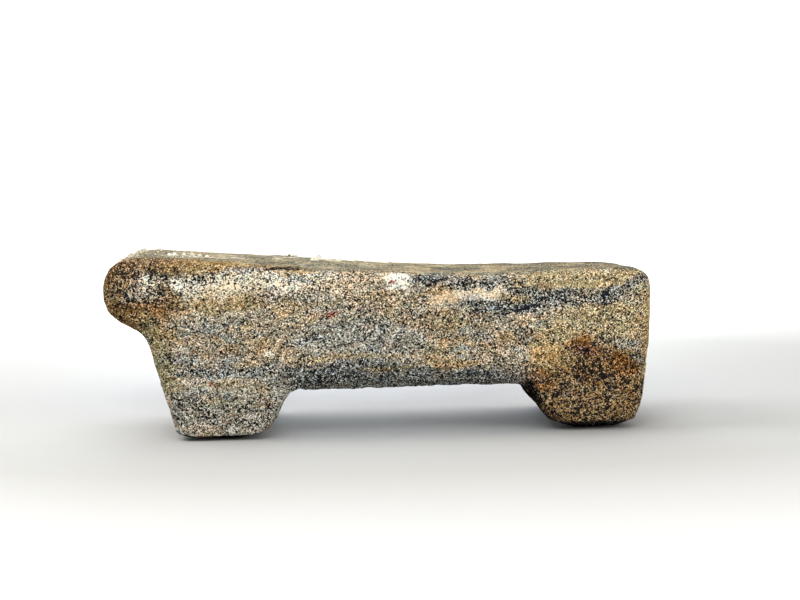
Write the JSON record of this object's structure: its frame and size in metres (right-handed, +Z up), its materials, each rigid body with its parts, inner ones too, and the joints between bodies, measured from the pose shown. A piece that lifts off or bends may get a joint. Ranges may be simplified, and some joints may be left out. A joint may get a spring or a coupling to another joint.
{
  "type": "footed saddle quern",
  "caption": "Carved stone saddle quern: a long grinding slab with a worn, hollowed top and an overhanging rounded nose, standing on short legs of the same stone.",
  "frame": {"origin": "on the floor, under the middle of the stone's box", "axes": "+X along the slab from the rounded nose to the squared heel, -Y towards the front, +Z up"},
  "size_m": [0.348, 0.16, 0.1165],
  "materials": {
    "gneiss": "pecked, banded gneiss with a rusty brown patina",
    "lime_crust": "crumbly whitish burial crust"
  },
  "bodies": {
    "root": {"quern": "gneiss"}
  },
  "joints": []
}
